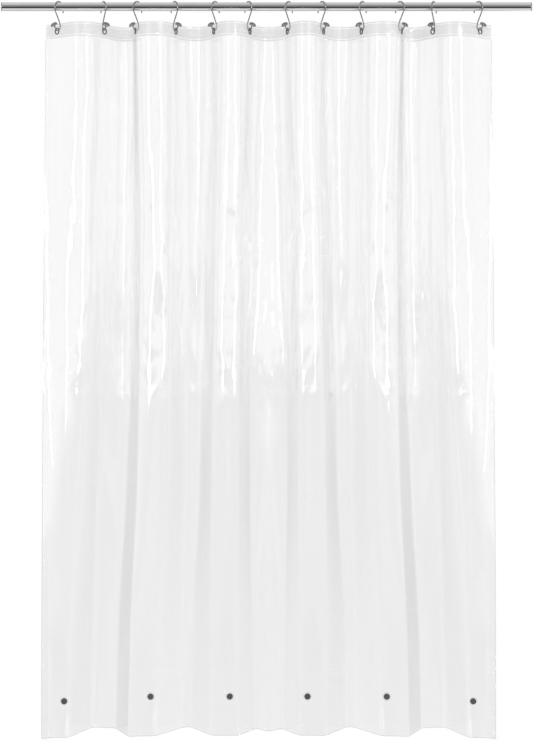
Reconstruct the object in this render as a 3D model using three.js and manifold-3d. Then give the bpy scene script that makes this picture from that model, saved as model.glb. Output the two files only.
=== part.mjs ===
// A clear vinyl shower curtain, hung by wire hooks from a straight chrome rod.
//
// Millimetres. +X runs along the rod to the right, -Y faces the room, +Z is up.
// The origin is the centre of the rod's left end face.

import * as THREE from "three";
import Module from "manifold-3d";
import { mergeVertices } from "three/addons/utils/BufferGeometryUtils.js";

const wasm = await Module();
wasm.setup();

// ---------------------------------------------------------------- driving dimensions

const ROD = { length: 1370, radius: 11.1, wall: 1 };
const END_CAP = { flange: 1.5, plug: 8 };
const GAP = 0.3; // running clearance between separate pieces

const CLOTH = {
  width: 1829, // flat, side to side
  height: 1829, // top edge to bottom edge
  thickness: 0.3,
  top: -45.5, // height of the top edge
  centreX: 690.5, // the middle of the hanging curtain, along the rod
};
const HEADER_HEIGHT = 38;
const HEM_WIDTH = 15;
const HALF = CLOTH.width / 2;

// Six eyelets each side of the middle, listed outwards. They are evenly spaced along the cloth.
const EYELET_PITCH = 159.4;
const EYELET_OFFSET = [48.6, 141.3, 239.5, 343.4, 423.8, 545.5]; // along the rod, from the middle
const EYELET_HEADING = [70, 69, 70, 79, 57, 50]; // how steeply the cloth crosses the rod there, degrees
const EYELET_PLANE_Y = -6;
const EYELET_Z = -64.1;
const EYELET_FLAT = 11; // the cloth is flat this far each side of an eyelet
const EYELET = { bore: 6.2, barrel: 6.9, flange: 9.2, rim: 0.6, hole: 7.4, segments: 12 };

const TOP_EDGE = { offset: 578.5, heading: 16 };
const BOTTOM_EDGE_OFFSET = 578;

// The folds at the bottom edge, outwards from the middle: across the rod and towards the wall.
const BOTTOM_FOLDS = [
  [0, 12],
  [36, 40],
  [84, -60],
  [136, -62],
  [204, 70],
  [308, -54],
  [358, -62],
  [412, 70],
  [456, 78],
  [520, -77],
  [578, -90],
];

const HOOK = {
  wire: 1.5, // radius
  arch: 17, // radius of the bend over the rod
  yaw: [33, 33, 33, 37, 26, 33], // how far each turns from square to the rod, outwards, degrees
  holeU: 7, // how far in front of the rod's axis the wire passes through the eyelet
  capAngle: 47, // the stem's slope where the cap sits, degrees
};
const ARCH_GAP = 1; // a turned hook rides on its shoulders, so its crown stands clear of the rod
const CAP = { radius: 9.5, height: 4.6, rim: 0.9, socket: 1.9, socketDepth: 2.6 };

const MAGNET = { radius: 8, thickness: 2.5, stand: 1.6 };
// Three magnets each side of the middle, listed outwards.
const MAGNET_OFFSET = [99.5, 302, 521]; // along the rod, from the middle
const MAGNET_HEIGHT = [101, 102, 94]; // above the bottom edge
const PATCH = { radius: 12, thickness: 0.5 };

const rad = THREE.MathUtils.degToRad;
const mix = THREE.MathUtils.lerp;

// ---------------------------------------------------------------- materials

const standard = (color, roughness, metalness, extra = {}) =>
  new THREE.MeshStandardMaterial({ color, roughness, metalness, ...extra });

const CHROME = standard(0xc9cbce, 0.14, 1);
const CAP_METAL = standard(0xc4c6ca, 0.18, 1);
const EYELET_METAL = standard(0xa9abae, 0.3, 1);
const CLEAR_VINYL = standard(0xeef0f2, 0.22, 0, { transparent: true, opacity: 0.5 });
const HEADER_VINYL = standard(0xdcdddf, 0.35, 0, { transparent: true, opacity: 0.8 });
const HEM_VINYL = standard(0xe4e6e8, 0.3, 0, { transparent: true, opacity: 0.65 });
const MAGNET_BLACK = standard(0x2b2c30, 0.5, 0);
const END_PLASTIC = standard(0x4b4c50, 0.5, 0);

// ---------------------------------------------------------------- the folds of the cloth
//
// A row is the cloth's line at one height. It is stored as its heading, the angle between the
// cloth and the rod, at even steps along the cloth from the middle to the side edge, so that
// every row keeps the cloth's true length. The left half mirrors the right.

const STEPS = 1200;
const STEP = HALF / STEPS;

/** Means of cos and sin of a heading function over one stretch of cloth. */
function means(heading, n = 60) {
  let c = 0;
  let s = 0;
  for (let i = 0; i < n; i++) {
    const angle = heading((i + 0.5) / n);
    c += Math.cos(angle) / n;
    s += Math.sin(angle) / n;
  }
  return [c, s];
}

/** The heading along a fold between two eyelets: it leaves the first at one angle, meets the
 *  second at another, and spans the distance between them in the length of cloth it has. */
function foldBetween(start, end, span, length) {
  const shape = (a, b) => (t) => {
    const ease = (1 + Math.cos(Math.PI * t)) / 2;
    const bump = Math.sin(Math.PI * t) ** 2;
    return mix(end, start, ease) + bump * (a + b * Math.cos(Math.PI * t));
  };
  const miss = (a, b) => {
    const [c, s] = means(shape(a, b));
    return [c - span / length, s];
  };
  let a = 0;
  let b = Math.sign(start) * 0.3;
  for (let round = 0; round < 30; round++) {
    const [f, g] = miss(a, b);
    const [fa, ga] = miss(a + 1e-5, b).map((v, i) => (v - [f, g][i]) / 1e-5);
    const [fb, gb] = miss(a, b + 1e-5).map((v, i) => (v - [f, g][i]) / 1e-5);
    const det = fa * gb - fb * ga;
    a -= (f * gb - g * fb) / det;
    b -= (g * fa - f * ga) / det;
  }
  return shape(a, b);
}

/** Where eyelet k sits along the cloth from the middle; the first is half a pitch out. */
const eyeletAlong = (k) => EYELET_PITCH * (k + 0.5);

/** The cloth's heading at eyelet k. It comes forward at one eyelet and goes back at the next. */
const eyeletHeading = (k) => rad(EYELET_HEADING[k]) * (k % 2 ? 1 : -1);

/** The headings of the top row, held to its eyelets. */
function topRow() {
  const first = { along: -eyeletAlong(0), x: -EYELET_OFFSET[0], heading: -eyeletHeading(0) };
  const knots = [first];
  EYELET_OFFSET.forEach((x, k) => knots.push({ along: eyeletAlong(k), x, heading: eyeletHeading(k) }));
  const folds = knots.slice(1).map((to, i) => {
    const from = knots[i];
    const fold = foldBetween(from.heading, to.heading, to.x - from.x, to.along - from.along);
    return { from: from.along, to: to.along, fold };
  });
  const last = knots.at(-1);
  const margin = (t) => mix(rad(TOP_EDGE.heading), last.heading, (1 + Math.cos(Math.PI * t)) / 2);
  folds.push({ from: last.along, to: HALF, fold: margin });
  return sampled(folds);
}

/** A fold between two turning points: the heading rises from nothing and falls back to it. */
const swell = (t, peak, soft = 0.45) => {
  const s = Math.sin(Math.PI * t);
  return (peak * s * Math.sqrt(1 + soft * soft)) / Math.sqrt(s * s + soft * soft);
};

/** The headings of the bottom row. Its folds run between turning points, and their depth is
 *  scaled until they use up exactly the cloth's half width. */
function bottomRow() {
  const build = (depth) => {
    let along = 0;
    return BOTTOM_FOLDS.slice(1).map(([x, y], i) => {
      const [x0, y0] = BOTTOM_FOLDS[i];
      const slope = ((y - y0) * depth) / (x - x0);
      const peak = solve((p) => {
        const [c, s] = means((t) => swell(t, p));
        return s / c - slope;
      }, -1.5, 1.5);
      const [c] = means((t) => swell(t, peak));
      const from = along;
      along += (x - x0) / c;
      return { from, to: along, fold: (t) => swell(t, peak) };
    });
  };
  const depth = solve((d) => build(d).at(-1).to - HALF, 0.5, 1.2);
  return sampled(build(depth));
}

/** A root of a rising function, by halving. */
function solve(f, low, high) {
  for (let i = 0; i < 40; i++) {
    const middle = (low + high) / 2;
    if (f(middle) < 0) low = middle;
    else high = middle;
  }
  return (low + high) / 2;
}

/** Headings at every step along the cloth, from a list of folds. */
function sampled(folds) {
  return Array.from({ length: STEPS + 1 }, (_, i) => {
    const along = i * STEP;
    const part = folds.find((f) => along <= f.to) ?? folds.at(-1);
    return part.fold(Math.min(1, (along - part.from) / (part.to - part.from)));
  });
}

const TOP_ROW = topRow();
const BOTTOM_ROW = bottomRow();

/** The cloth's line from its headings: running x and y, from the middle outwards. */
function traced(headings) {
  const x = [0];
  const y = [0];
  for (let i = 1; i < headings.length; i++) {
    const angle = (headings[i - 1] + headings[i]) / 2;
    x.push(x[i - 1] + STEP * Math.cos(angle));
    y.push(y[i - 1] + STEP * Math.sin(angle));
  }
  return { x, y, mean: y.reduce((sum, v) => sum + v, 0) / y.length };
}

const topLine = traced(TOP_ROW);
const EYELET_BIAS = topLine.mean - topLine.y[Math.round(eyeletAlong(0) / STEP)];

/** One row, for a share w of the way down from the header. Its headings go from the top row's
 *  to the bottom row's, and are scaled so that the side edge stays on its own straight line. */
function row(w) {
  const blend = TOP_ROW.map((top, i) => mix(top, BOTTOM_ROW[i], w));
  const edge = mix(TOP_EDGE.offset, BOTTOM_EDGE_OFFSET, w);
  const scaled = (g) => blend.map((angle) => angle * g);
  const g = w === 0 ? 1 : solve((k) => edge - traced(scaled(k)).x.at(-1), 0.7, 1.5);
  const headings = scaled(g);
  const { x, y, mean } = traced(headings);
  return (along) => {
    const place = Math.min(STEPS - 1e-6, Math.abs(along) / STEP);
    const i = Math.floor(place);
    const f = place - i;
    const side = Math.sign(along) || 1;
    return {
      x: CLOTH.centreX + side * mix(x[i], x[i + 1], f),
      y: mix(y[i], y[i + 1], f) - mean + EYELET_PLANE_Y + (1 - w) * EYELET_BIAS,
      heading: side * mix(headings[i], headings[i + 1], f),
    };
  };
}

const HEADER_BOTTOM = CLOTH.top - HEADER_HEIGHT;
const CLOTH_BOTTOM = CLOTH.top - CLOTH.height;
const rowCache = new Map();

/** The row at height z. */
function rowAt(z) {
  if (!rowCache.has(z)) {
    const w = Math.max(0, (HEADER_BOTTOM - z) / (HEADER_BOTTOM - CLOTH_BOTTOM));
    rowCache.set(z, row(w));
  }
  return rowCache.get(z);
}

/** A point of the cloth, moved out of its plane towards the room. */
function clothPoint(along, z, out) {
  const { x, y, heading } = rowAt(z)(along);
  return [x + out * Math.sin(heading), y - out * Math.cos(heading), z];
}

// ---------------------------------------------------------------- solids

/** A panel of the cloth between two offsets from its plane, as one closed body. */
function panel(alongs, heights, back, front) {
  const positions = [];
  const index = [];
  const columns = alongs.length;
  const rows = heights.length;
  for (const out of [front, back]) {
    for (const z of heights) {
      for (const along of alongs) positions.push(...clothPoint(along, z, out));
    }
  }
  const at = (side, r, c) => side * rows * columns + r * columns + c;
  const quad = (a, b, c, d) => index.push(a, b, c, a, c, d);
  for (let r = 0; r < rows - 1; r++) {
    for (let c = 0; c < columns - 1; c++) {
      quad(at(0, r, c), at(0, r + 1, c), at(0, r + 1, c + 1), at(0, r, c + 1));
      quad(at(1, r, c), at(1, r, c + 1), at(1, r + 1, c + 1), at(1, r + 1, c));
    }
  }
  for (let c = 0; c < columns - 1; c++) {
    quad(at(1, 0, c), at(0, 0, c), at(0, 0, c + 1), at(1, 0, c + 1));
    quad(at(0, rows - 1, c), at(1, rows - 1, c), at(1, rows - 1, c + 1), at(0, rows - 1, c + 1));
  }
  for (let r = 0; r < rows - 1; r++) {
    quad(at(1, r, 0), at(1, r + 1, 0), at(0, r + 1, 0), at(0, r, 0));
    quad(at(0, r, columns - 1), at(0, r + 1, columns - 1), at(1, r + 1, columns - 1), at(1, r, columns - 1));
  }
  const geometry = new THREE.BufferGeometry();
  geometry.setAttribute("position", new THREE.Float32BufferAttribute(positions, 3));
  geometry.setIndex(index);
  return geometry;
}

function toManifold(geometry) {
  const bare = geometry.clone();
  bare.deleteAttribute("normal");
  bare.deleteAttribute("uv");
  const welded = mergeVertices(bare, 1e-4);
  return new wasm.Manifold(
    new wasm.Mesh({
      numProp: 3,
      vertProperties: new Float32Array(welded.attributes.position.array),
      triVerts: new Uint32Array(welded.index.array),
    }),
  );
}

function fromManifold(solid) {
  const mesh = solid.getMesh();
  const geometry = new THREE.BufferGeometry();
  geometry.setAttribute("position", new THREE.Float32BufferAttribute(mesh.vertProperties, 3));
  geometry.setIndex(Array.from(mesh.triVerts));
  geometry.computeVertexNormals();
  return geometry;
}

/** A solid of revolution about +Z from a profile of [radius, height] points. */
function turned(profile, segments) {
  return new THREE.LatheGeometry(
    profile.map(([r, h]) => new THREE.Vector2(r, h)),
    segments,
  ).rotateX(Math.PI / 2);
}

const group = new THREE.Group();

/** Adds one named piece; place, when given, is the matrix that carries it to its position. */
function add(name, geometry, material, place = null) {
  const mesh = new THREE.Mesh(geometry, material);
  mesh.name = name;
  if (place) place.decompose(mesh.position, mesh.quaternion, mesh.scale);
  group.add(mesh);
  return mesh;
}

const number = (i) => String(i + 1).padStart(2, "0");

// ---------------------------------------------------------------- stations along the rod

/** The twelve eyelets from left to right: the place and heading of each, and its hook's turn. */
const STATIONS = [...EYELET_OFFSET.keys()]
  .reverse()
  .map((k) => ({ k, side: -1 }))
  .concat([...EYELET_OFFSET.keys()].map((k) => ({ k, side: 1 })))
  .map(({ k, side }) => {
    const [a, b] = [-EYELET_FLAT, EYELET_FLAT].map((d) => rowAt(CLOTH.top)(side * eyeletAlong(k) + d));
    const heading = Math.atan2(b.y - a.y, b.x - a.x);
    const yaw = Math.sign(heading) * rad(HOOK.yaw[k]);
    return { x: (a.x + b.x) / 2, y: (a.y + b.y) / 2, heading, yaw };
  });

/** The matrix whose local +X is horizontal and points at the room, turned by yaw, and whose
 *  local +Z is up, at a point. */
function facing(x, y, z, yaw) {
  const forward = new THREE.Vector3(Math.sin(yaw), -Math.cos(yaw), 0);
  const up = new THREE.Vector3(0, 0, 1);
  const side = new THREE.Vector3().crossVectors(up, forward);
  return new THREE.Matrix4().makeBasis(forward, side, up).setPosition(x, y, z);
}

// ---------------------------------------------------------------- the rod

function addRod() {
  const { length, radius, wall } = ROD;
  const start = END_CAP.flange + GAP;
  const tube = turned(
    [
      [radius - wall, start],
      [radius, start],
      [radius, length - start],
      [radius - wall, length - start],
      [radius - wall, start],
    ],
    28,
  );
  const alongX = new THREE.Matrix4().makeRotationY(Math.PI / 2);
  add("rod_tube", tube, CHROME, alongX);

  const plugRadius = radius - wall - GAP;
  const cap = turned(
    [
      [0, 0],
      [radius, 0],
      [radius, END_CAP.flange],
      [plugRadius, END_CAP.flange],
      [plugRadius, END_CAP.flange + END_CAP.plug],
      [0, END_CAP.flange + END_CAP.plug],
    ],
    28,
  );
  const fromRight = new THREE.Matrix4().makeRotationY(-Math.PI / 2).setPosition(length, 0, 0);
  add("rod_end_cap_left", cap, END_PLASTIC, alongX);
  add("rod_end_cap_right", cap, END_PLASTIC, fromRight);
}

// ---------------------------------------------------------------- the cloth

/** The lines across which the cloth is drawn: a flat strip at each eyelet, even steps over each
 *  fold, and a line at each hem's edge so that the hems lie flat on it. */
function alongSteps(perFold) {
  const right = EYELET_OFFSET.flatMap((_, k) => {
    const start = eyeletAlong(k) + EYELET_FLAT;
    const fold = EYELET_PITCH - 2 * EYELET_FLAT;
    const steps = k === EYELET_OFFSET.length - 1 ? 0 : perFold;
    const over = Array.from({ length: steps }, (_, i) => start + (fold * i) / perFold);
    return [eyeletAlong(k) - EYELET_FLAT, ...(steps ? over : [start])];
  });
  const middle = eyeletAlong(0) - EYELET_FLAT;
  const inner = Array.from({ length: perFold - 1 }, (_, i) => mix(-middle, middle, (i + 1) / perFold));
  const outer = [...right, HALF - HEM_WIDTH, HALF];
  return [...outer.map((a) => -a).reverse(), ...inner, ...outer];
}

const ALONG = alongSteps(6);
const LOWER_ROWS = Array.from({ length: 7 }, (_, i) => mix(HEADER_BOTTOM, CLOTH_BOTTOM, i / 6));

/** A cutter for every eyelet hole. */
function eyeletCutters() {
  const bar = new THREE.CylinderGeometry(EYELET.hole, EYELET.hole, 8, EYELET.segments);
  return STATIONS.map(({ x, y, heading }) => {
    const lying = bar.clone().rotateZ(-Math.PI / 2);
    return toManifold(lying.applyMatrix4(facing(x, y, EYELET_Z, heading)));
  });
}

function withHoles(geometry) {
  return fromManifold(wasm.Manifold.difference([toManifold(geometry), ...eyeletCutters()]));
}

function addCloth() {
  const t = CLOTH.thickness;
  const sheet = panel(ALONG, [CLOTH.top, ...LOWER_ROWS], 0, t);
  const header = panel(ALONG, [CLOTH.top, HEADER_BOTTOM + 1], t + GAP, 2 * t + GAP);
  add("curtain_sheet", withHoles(sheet), CLEAR_VINYL);
  add("header_band", withHoles(header), HEADER_VINYL);

  const hemAlong = [HALF - HEM_WIDTH, HALF];
  const left = panel(hemAlong.map((a) => -a).reverse(), LOWER_ROWS, t + GAP, 2 * t + GAP);
  const right = panel(hemAlong, LOWER_ROWS, t + GAP, 2 * t + GAP);
  add("side_hem_left", left, HEM_VINYL);
  add("side_hem_right", right, HEM_VINYL);
}

// ---------------------------------------------------------------- eyelets

function addEyelets() {
  const { bore, barrel, flange, rim, segments } = EYELET;
  const back = -GAP;
  const front = 2 * CLOTH.thickness + 2 * GAP;
  const spool = turned(
    [
      [bore, back - rim],
      [flange, back - rim],
      [flange, back],
      [barrel, back],
      [barrel, front],
      [flange, front],
      [flange, front + rim],
      [bore, front + rim],
      [bore, back - rim],
    ],
    segments,
  ).rotateY(Math.PI / 2);
  STATIONS.forEach(({ x, y, heading }, i) => {
    add(`eyelet_${number(i)}`, spool, EYELET_METAL, facing(x, y, EYELET_Z, heading));
  });
}

// ---------------------------------------------------------------- hooks

/** A circular arc in the hook's plane: u forward, z up, from one angle to another. */
class PlaneArc extends THREE.Curve {
  constructor(u, z, radius, from, to) {
    super();
    Object.assign(this, { u, z, radius, from, to });
  }

  getPoint(t, target = new THREE.Vector3()) {
    const angle = mix(this.from, this.to, t);
    return target.set(this.u + this.radius * Math.cos(angle), 0, this.z + this.radius * Math.sin(angle));
  }
}

const flat = (u, z) => new THREE.Vector3(u, 0, z);

/** The wire's centre line: up behind the rod, over it, down and back in front of it, through a
 *  small loop behind the cloth, out through the eyelet and up to the cap. */
function hookPath() {
  const { wire, arch } = HOOK;
  const archZ = ROD.radius + wire + ARCH_GAP - arch;
  const holeZ = EYELET_Z + 1.4;
  const path = new THREE.CurvePath();
  path.add(new THREE.LineCurve3(flat(-arch, -15), flat(-arch, archZ)));
  path.add(new PlaneArc(0, archZ, arch, Math.PI, 0));
  path.add(
    new THREE.CatmullRomCurve3(
      [
        flat(arch, archZ),
        flat(arch - 0.6, -9.5),
        flat(7.2, -25),
        flat(-2.8, -41.5),
        flat(-5, -50),
        flat(-1.6, holeZ + 3),
        flat(HOOK.holeU - 0.8, holeZ),
        flat(13.8, -57.4),
        stemEnd(),
      ],
      false,
      "centripetal",
    ),
  );
  return path;
}

/** Where the stem ends, just inside the cap's socket. */
function stemEnd() {
  return flat(21.2, -47.6);
}

function addHooks() {
  const round = new THREE.Shape();
  round.absarc(0, 0, HOOK.wire, 0, 2 * Math.PI);
  const wire = new THREE.ExtrudeGeometry(round, { steps: 34, curveSegments: 3, extrudePath: hookPath() });

  const { radius, height, rim, socket, socketDepth } = CAP;
  const dome = Array.from({ length: 4 }, (_, i) => {
    const angle = (i / 4) * (Math.PI / 2);
    return [radius * Math.cos(angle), rim + (height - rim) * Math.sin(angle)];
  });
  const cap = turned(
    [[0, socketDepth], [socket, socketDepth], [socket, 0], [radius, 0], ...dome, [0, height]],
    10,
  );
  const slope = rad(HOOK.capAngle);
  const seat = stemEnd().addScaledVector(flat(Math.cos(slope), Math.sin(slope)), GAP - socketDepth);
  const onStem = new THREE.Matrix4().makeRotationY(Math.PI / 2 - slope).setPosition(seat);

  STATIONS.forEach(({ x, yaw }, i) => {
    const lead = HOOK.holeU * Math.sin(yaw);
    const frame = facing(x - lead, 0, 0, yaw);
    add(`hook_wire_${number(i)}`, wire, CHROME, frame);
    add(`hook_cap_${number(i)}`, cap, CAP_METAL, frame.clone().multiply(onStem));
  });
}

// ---------------------------------------------------------------- magnets

/** How far along the cloth a row reaches an offset from the middle. */
function alongAtOffset(z, offset) {
  return solve((a) => rowAt(z)(a).x - CLOTH.centreX - offset, 0, HALF);
}

function addMagnets() {
  const offsets = [...MAGNET_OFFSET.map((x) => -x).reverse(), ...MAGNET_OFFSET];
  const heights = [...MAGNET_HEIGHT.toReversed(), ...MAGNET_HEIGHT];
  const face = CLOTH.thickness + MAGNET.stand;
  const disc = new THREE.CylinderGeometry(MAGNET.radius, MAGNET.radius, MAGNET.thickness, 16).rotateZ(-Math.PI / 2);

  const { radius, thickness } = PATCH;
  const room = MAGNET.radius + GAP;
  const crown = MAGNET.thickness + GAP;
  const pocket = turned(
    [
      [0, crown],
      [room, crown],
      [room, 0],
      [radius, 0],
      [radius, thickness],
      [room + thickness, thickness],
      [room + thickness, crown + thickness],
      [0, crown + thickness],
    ],
    16,
  ).rotateY(Math.PI / 2);
  offsets.forEach((offset, i) => {
    const z = CLOTH_BOTTOM + heights[i];
    const along = Math.sign(offset) * alongAtOffset(z, Math.abs(offset));
    const { x, y, heading } = rowAt(z)(along);
    const frame = facing(x, y, z, heading);
    const step = (out) => frame.clone().multiply(new THREE.Matrix4().makeTranslation(out, 0, 0));
    add(`magnet_${number(i)}`, disc, MAGNET_BLACK, step(face + MAGNET.thickness / 2));
    add(`magnet_pocket_${number(i)}`, pocket, CLEAR_VINYL, step(face));
  });
}

addRod();
addCloth();
addEyelets();
addHooks();
addMagnets();

export default group;
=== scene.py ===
"""A clear vinyl shower curtain, hung by wire hooks from a chrome rod: the look model.

Metres, in the frame's own axes: +X along the rod, -Y towards the room, +Z up. The origin is the
centre of the rod's left end face.
"""

import math
from functools import lru_cache

import bmesh
import bpy
import numpy as np
from mathutils import Matrix, Vector


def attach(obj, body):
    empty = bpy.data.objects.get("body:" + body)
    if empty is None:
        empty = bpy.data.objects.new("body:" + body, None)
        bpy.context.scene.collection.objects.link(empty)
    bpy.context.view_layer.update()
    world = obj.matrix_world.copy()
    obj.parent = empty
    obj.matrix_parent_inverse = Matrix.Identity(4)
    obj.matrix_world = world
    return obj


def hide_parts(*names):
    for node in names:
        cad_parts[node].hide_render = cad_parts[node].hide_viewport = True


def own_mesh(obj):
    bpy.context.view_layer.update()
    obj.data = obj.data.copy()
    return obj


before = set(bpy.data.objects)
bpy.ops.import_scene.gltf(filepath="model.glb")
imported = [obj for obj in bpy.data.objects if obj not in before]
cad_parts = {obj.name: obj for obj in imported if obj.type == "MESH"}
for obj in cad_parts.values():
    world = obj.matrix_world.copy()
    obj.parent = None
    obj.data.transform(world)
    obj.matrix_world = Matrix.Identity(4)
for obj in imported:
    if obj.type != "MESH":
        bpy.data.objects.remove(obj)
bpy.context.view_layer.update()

MM = 0.001

# ---------------------------------------------------------------- dimensions, as in the frame

ROD_LENGTH = 1370 * MM
ROD_RADIUS = 11.1 * MM
ROD_WALL = 1 * MM
END_FLANGE = 1.5 * MM
END_GAP = 0.3 * MM

CLOTH_WIDTH = 1829 * MM
CLOTH_HEIGHT = 1829 * MM
CLOTH_TOP = -45.5 * MM
CENTRE_X = 690.5 * MM
HALF = CLOTH_WIDTH / 2
HEADER_HEIGHT = 38 * MM
HEADER_BOTTOM = CLOTH_TOP - HEADER_HEIGHT
CLOTH_BOTTOM = CLOTH_TOP - CLOTH_HEIGHT
HEM_WIDTH = 15 * MM
WELDS = [CLOTH_TOP - 4.5 * MM, HEADER_BOTTOM + 6 * MM]  # pressed lines along the header
WELD_HEIGHT = 1.5 * MM
EDGE_WIDTH = 1.6 * MM  # the cut edge, where the film's thickness is seen

EYELET_PITCH = 159.4 * MM
EYELET_OFFSET = [48.6, 141.3, 239.5, 343.4, 423.8, 545.5]  # mm along the rod, from the middle
EYELET_HEADING = [70, 69, 70, 79, 57, 50]  # degrees
EYELET_PLANE_Y = -6 * MM
EYELET_Z = -64.1 * MM
EYELET_FLAT = 11 * MM  # an eyelet spans the chord that reaches this far to either side
EYELET_HOLE = 7.7 * MM
HOLE_CUT = 0.92  # the film's grid is cut away within this share of a hole's radius
HOLE_PULL = 1.45  # and pulled towards the rim within this one

TOP_EDGE_OFFSET = 578.5 * MM
TOP_EDGE_HEADING = 16  # degrees
BOTTOM_EDGE_OFFSET = 578 * MM
STEEPEST = math.radians(69)  # the folds' flanks below the header
EASING = math.radians(7)  # how much gentler the inner folds' flanks get towards the bottom
EASING_FROM = (-1.2, -1.65)  # the heights between which that happens
EASED_FOLDS = (0.5, 0.44)  # how far from the middle, along the cloth, the inner folds end
BOTTOM_FOLDS = [  # mm along the rod and across it, outwards from the middle
    (0, 12),
    (36, 40),
    (84, -60),
    (136, -62),
    (204, 70),
    (308, -54),
    (358, -62),
    (412, 70),
    (456, 78),
    (520, -77),
    (578, -90),
]

HOOK_WIRE = 1.5 * MM
HOOK_ARCH = 17 * MM
HOOK_YAW = [33, 33, 33, 37, 26, 33]  # degrees, outwards from the middle
HOOK_HOLE_U = 7 * MM  # where the wire passes through its eyelet, forward of the rod's axis
CAP_SLOPE = math.radians(47)
STEM_END = (21.2 * MM, -47.6 * MM)
CAP_SINK = 2 * MM  # how far the stem's end reaches into the cap

MAGNET_RADIUS = 8 * MM
MAGNET_THICKNESS = 2.5 * MM
MAGNET_STAND = 1.6 * MM  # between the film and the magnet's back
MAGNET_OFFSET = [99.5, 302, 521]  # mm along the rod, from the middle
MAGNET_HEIGHT = [101, 102, 94]  # mm above the bottom edge
POCKET_RADIUS = 12 * MM
DRAWN_FORWARD = 2.5 * MM  # the most that the film is drawn forward under a magnet

# ---------------------------------------------------------------- noise


def smooth(low, high, v):
    """0 at low and 1 at high, with a gentle start and end; low may be above high."""
    t = np.clip((v - low) / (high - low), 0, 1)
    return t * t * (3 - 2 * t)


def noise(u, v, seed):
    """Smooth value noise from -1 to 1, one lattice cell per unit of u and v."""
    table = np.random.default_rng(seed).uniform(-1, 1, (64, 64))
    ui, vi = np.floor(u).astype(int), np.floor(v).astype(int)
    uf, vf = u - ui, v - vi
    uf, vf = uf**3 * (uf * (6 * uf - 15) + 10), vf**3 * (vf * (6 * vf - 15) + 10)
    a = table[ui % 64, vi % 64] * (1 - uf) + table[(ui + 1) % 64, vi % 64] * uf
    b = table[ui % 64, (vi + 1) % 64] * (1 - uf) + table[(ui + 1) % 64, (vi + 1) % 64] * uf
    return a * (1 - vf) + b * vf


SLACK_BOTTOM = -1.08  # the film is slack above this, and pulled straight by the magnets below


def slackness(z):
    """1 where the film hangs slack, falling to nothing at the header and above the magnets."""
    below_header = smooth(HEADER_BOTTOM, HEADER_BOTTOM - 0.25, z)
    return below_header * smooth(SLACK_BOTTOM - 0.1, SLACK_BOTTOM + 0.2, z)


# ---------------------------------------------------------------- the folds of the cloth

STEPS = 1200  # along the half width
STEP = HALF / STEPS
MARKS = np.arange(STEPS + 1) * STEP


def solve(f, low, high, rounds=40):
    """A root of a rising function, by halving."""
    for _ in range(rounds):
        middle = (low + high) / 2
        if f(middle) < 0:
            low = middle
        else:
            high = middle
    return (low + high) / 2


SAMPLES = 60


def means(heading):
    """Means of cos and sin of a heading over one stretch of cloth."""
    angles = heading((np.arange(SAMPLES) + 0.5) / SAMPLES)
    return np.cos(angles).mean(), np.sin(angles).mean()


def fold_between(start, end, span, length):
    """The heading along a fold between two eyelets, with its end angles, span and length."""

    def shape(a, b):
        def heading(t):
            ease = (1 + np.cos(np.pi * t)) / 2
            bump = np.sin(np.pi * t) ** 2
            return end + (start - end) * ease + bump * (a + b * np.cos(np.pi * t))

        return heading

    def miss(a, b):
        c, s = means(shape(a, b))
        return np.array([c - span / length, s])

    ab = np.array([0.0, math.copysign(0.3, start)])
    nudge = 1e-5
    for _ in range(30):
        f = miss(*ab)
        slope_a = (miss(ab[0] + nudge, ab[1]) - f) / nudge
        slope_b = (miss(ab[0], ab[1] + nudge) - f) / nudge
        ab -= np.linalg.solve(np.column_stack([slope_a, slope_b]), f)
    return shape(*ab)


def eyelet_along(k):
    return EYELET_PITCH * (k + 0.5)


def sampled(folds):
    """Headings at every step from the middle outwards, from (from, to, heading) folds."""
    headings = np.zeros(STEPS + 1)
    for start, end, fold in folds:
        inside = (MARKS >= start) & (MARKS <= end + 1e-9)
        headings[inside] = fold((MARKS[inside] - start) / (end - start))
    return headings


def top_row():
    """The headings of the top row, held to its eyelets."""
    knots = [(-eyelet_along(0), -EYELET_OFFSET[0] * MM, math.radians(EYELET_HEADING[0]))]
    for k, (offset, heading) in enumerate(zip(EYELET_OFFSET, EYELET_HEADING)):
        knots.append((eyelet_along(k), offset * MM, math.radians(heading) * (1 if k % 2 else -1)))
    folds = [
        (s0, s1, fold_between(h0, h1, x1 - x0, s1 - s0))
        for (s0, x0, h0), (s1, x1, h1) in zip(knots, knots[1:])
    ]
    last, edge = knots[-1], math.radians(TOP_EDGE_HEADING)
    folds.append((last[0], HALF, lambda t: edge + (last[2] - edge) * (1 + np.cos(np.pi * t)) / 2))
    return sampled(folds)


ROUNDNESS = 0.45  # of the turning points, against the straighter flanks between them


def swell(t, peak):
    """A fold between two turning points: the heading rises from nothing and falls back to it."""
    s = np.sin(np.pi * t)
    return peak * s * math.sqrt(1 + ROUNDNESS**2) / np.sqrt(s * s + ROUNDNESS**2)


def bottom_row():
    """The headings of the bottom row, with the folds as deep as the cloth's half width allows."""

    def build(depth):
        along, folds = 0.0, []
        for (x0, y0), (x1, y1) in zip(BOTTOM_FOLDS, BOTTOM_FOLDS[1:]):
            slope = (y1 - y0) * depth / (x1 - x0)

            def miss(p):
                c, s = means(lambda t: swell(t, p))
                return s / c - slope

            peak = solve(miss, -1.5, 1.5)
            c, _ = means(lambda t: swell(t, peak))
            end = along + (x1 - x0) * MM / c
            folds.append((along, end, lambda t, peak=peak: swell(t, peak)))
            along = end
        return folds

    depth = solve(lambda d: build(d)[-1][1] - HALF, 0.5, 1.2)
    return sampled(build(depth))


TOP_ROW = top_row()
BOTTOM_ROW = bottom_row()


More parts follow.
